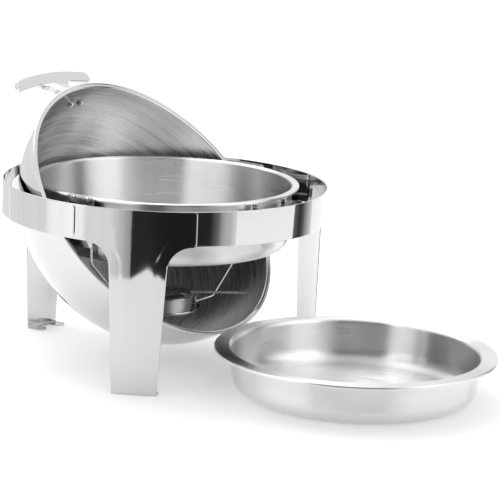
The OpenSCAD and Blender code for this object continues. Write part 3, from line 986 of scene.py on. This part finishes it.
def stage_mesh(name, verts, faces, material):
    mesh = bpy.data.meshes.new(name)
    mesh.from_pydata([Vector(v) * MM for v in verts], [], faces)
    mesh.materials.append(material)
    made = bpy.data.objects.new(name, mesh)
    bpy.context.scene.collection.objects.link(made)
    return made


def build_floor():
    m = Material("pale_floor")
    cloud = m.noise(m.place(), 3.0, 3.0)
    m.put(m.shader, {"Base_Color": m.mix(cloud, (0.80, 0.80, 0.80), (0.82, 0.82, 0.82)),
                     "Roughness": m.remap(cloud, 0.0, 1.0, 0.6, 0.7),
                     "Emission_Color": m.mix(cloud, (1.0, 1.0, 1.0), (0.98, 0.98, 0.98)),
                     "Emission_Strength": 0.26})
    far = FLOOR_HALF
    stage_mesh("floor", [(-far, -far, 0), (far, -far, 0), (far, far, 0), (-far, far, 0)],
               [(0, 1, 2, 3)], m.data)


def glow(name, steps, stripes=0.0):
    """A card's own light, given as (azimuth, strength) steps round the chafer."""
    m = Material(name)
    x, y = m.apart(m.place())[:2]
    azimuth = m.math("ARCTAN2", x, m.math("SUBTRACT", AXIS_Y * MM, y))
    strength = steps[0][1]
    for (a0, s0), (a1, s1) in zip(steps, steps[1:]):
        strength = m.math("ADD", strength, m.remap(azimuth, math.radians(a0),
                                                   math.radians(a1), 0.0, s1 - s0))
    streak = m.noise(m.node("ShaderNodeCombineXYZ", i0=azimuth), 9.0, 2.0)
    strength = m.math("MULTIPLY", strength, m.remap(streak, 0.3, 0.7, 1 - stripes, 1.0))
    m.put(m.shader, {"Base_Color": (0, 0, 0, 1), "Specular_IOR_Level": 0.0,
                     "Emission_Color": (1, 1, 1, 1), "Emission_Strength": strength})
    return m.data


def card(name, radius, from_azimuth, to_azimuth, low, high, material, notch=None):
    """An upright curved studio card round the chafer, seen only in reflections."""
    count = 48
    verts = []
    for i in range(count + 1):
        azimuth = from_azimuth + (to_azimuth - from_azimuth) * i / count
        a = math.radians(azimuth)
        foot = low
        if notch:
            middle, half, height = notch
            foot += max(0.0, height * (1 - abs(azimuth - middle) / half))
        x, y = radius * math.sin(a), AXIS_Y - radius * math.cos(a)
        verts += [(x, y, foot), (x, y, high)]
    faces = [(2 * i, 2 * i + 2, 2 * i + 3, 2 * i + 1) for i in range(count)]
    made = stage_mesh(name, verts, faces, material)
    made.visible_camera = False
    made.visible_diffuse = False
    made.visible_shadow = False
    made.visible_volume_scatter = False


def build_cards():
    dark = glow("front_glow", [(-71, 0.04), (-45, 0.018), (-23, 0.03), (-18, 0.2), (-13, 0.66),
                               (-6, 1.0)], 0.3)
    card("front_card", CARD_R, -70.5, -6, 0, HIGH_CARD_TOP, dark, FRONT_NOTCH)
    fading = glow("side_glow", [(40, 0.2), (46, 0.04), (50, 0.1), (62, 0.9)])
    card("side_card", SIDE_CARD_R, 40, 62, 0, SIDE_CARD_TOP, fading)
    soft_grey = glow("left_glow", [(-178, 1.0), (-132, 1.0), (-126, 1.35), (-108, 1.35),
                                   (-98, 1.15), (-84, 1.1), (-79.5, 0.95), (-74, 0.62),
                                   (-70.5, 0.44)], 0.1)
    card("left_card", CARD_R, -179, -70.5, 0, LOW_CARD_TOP, soft_grey)
    back_grey = glow("back_glow", [(120, 0.7), (179, 1.0)], 0.1)
    card("back_card", CARD_R, 120, 180, 0, LOW_CARD_TOP, back_grey)
    high_front = glow("high_front_glow", [(-4, 1.9), (38, 1.7)])
    card("high_front_card", CARD_R, -4, 38, HIGH_CARD_FOOT, HIGH_CARD_TOP, high_front)
    high_left = glow("high_left_glow", [(-122, 1.6), (-74, 1.6)])
    card("high_left_card", CARD_R, -122, -74, HIGH_CARD_FOOT, HIGH_CARD_TOP, high_left)


def build_light():
    world = bpy.data.worlds.new("studio")
    bpy.context.scene.world = world
    world.use_nodes = True
    tree = world.node_tree
    background = tree.nodes["Background"]
    background.inputs["Color"].default_value = (1, 1, 1, 1)
    background.inputs["Strength"].default_value = 1.0
    soft = bpy.data.lights.new("overhead_softbox", "AREA")
    soft.shape = "RECTANGLE"
    soft.size, soft.size_y = SOFTBOX_SIZE
    soft.energy = SOFTBOX_POWER
    lamp = bpy.data.objects.new("overhead_softbox", soft)
    bpy.context.scene.collection.objects.link(lamp)
    lamp.location = SOFTBOX_PLACE
    lamp.rotation_euler = (SOFTBOX_AIM - lamp.location).to_track_quat("-Z", "Y").to_euler()


CAMERA_AZIMUTH = -51.2
CAMERA_AWAY = 3344.4
CAMERA_UP = 879.4
CAMERA_PAN = 2.18
CAMERA_TILT = 12.12
CAMERA_ROLL = 2.45
CAMERA_LENS = 167.94


def build_camera():
    data = bpy.data.cameras.new("camera")
    data.lens = CAMERA_LENS
    data.sensor_width = 36.0
    data.clip_end = 100.0
    made = bpy.data.objects.new("camera", data)
    bpy.context.scene.collection.objects.link(made)
    a = math.radians(CAMERA_AZIMUTH)
    made.location = Vector((CAMERA_AWAY * math.sin(a), AXIS_Y - CAMERA_AWAY * math.cos(a),
                            CAMERA_UP)) * MM
    made.matrix_world = (
        Matrix.Translation(made.location)
        @ Matrix.Rotation(a - math.radians(CAMERA_PAN), 4, "Z")
        @ Matrix.Rotation(math.radians(90 - CAMERA_TILT), 4, "X")
        @ Matrix.Rotation(math.radians(CAMERA_ROLL), 4, "Z"))
    bpy.context.scene.camera = made


build_floor()
build_cards()
build_light()
build_camera()
bpy.context.scene.view_settings.view_transform = "Standard"
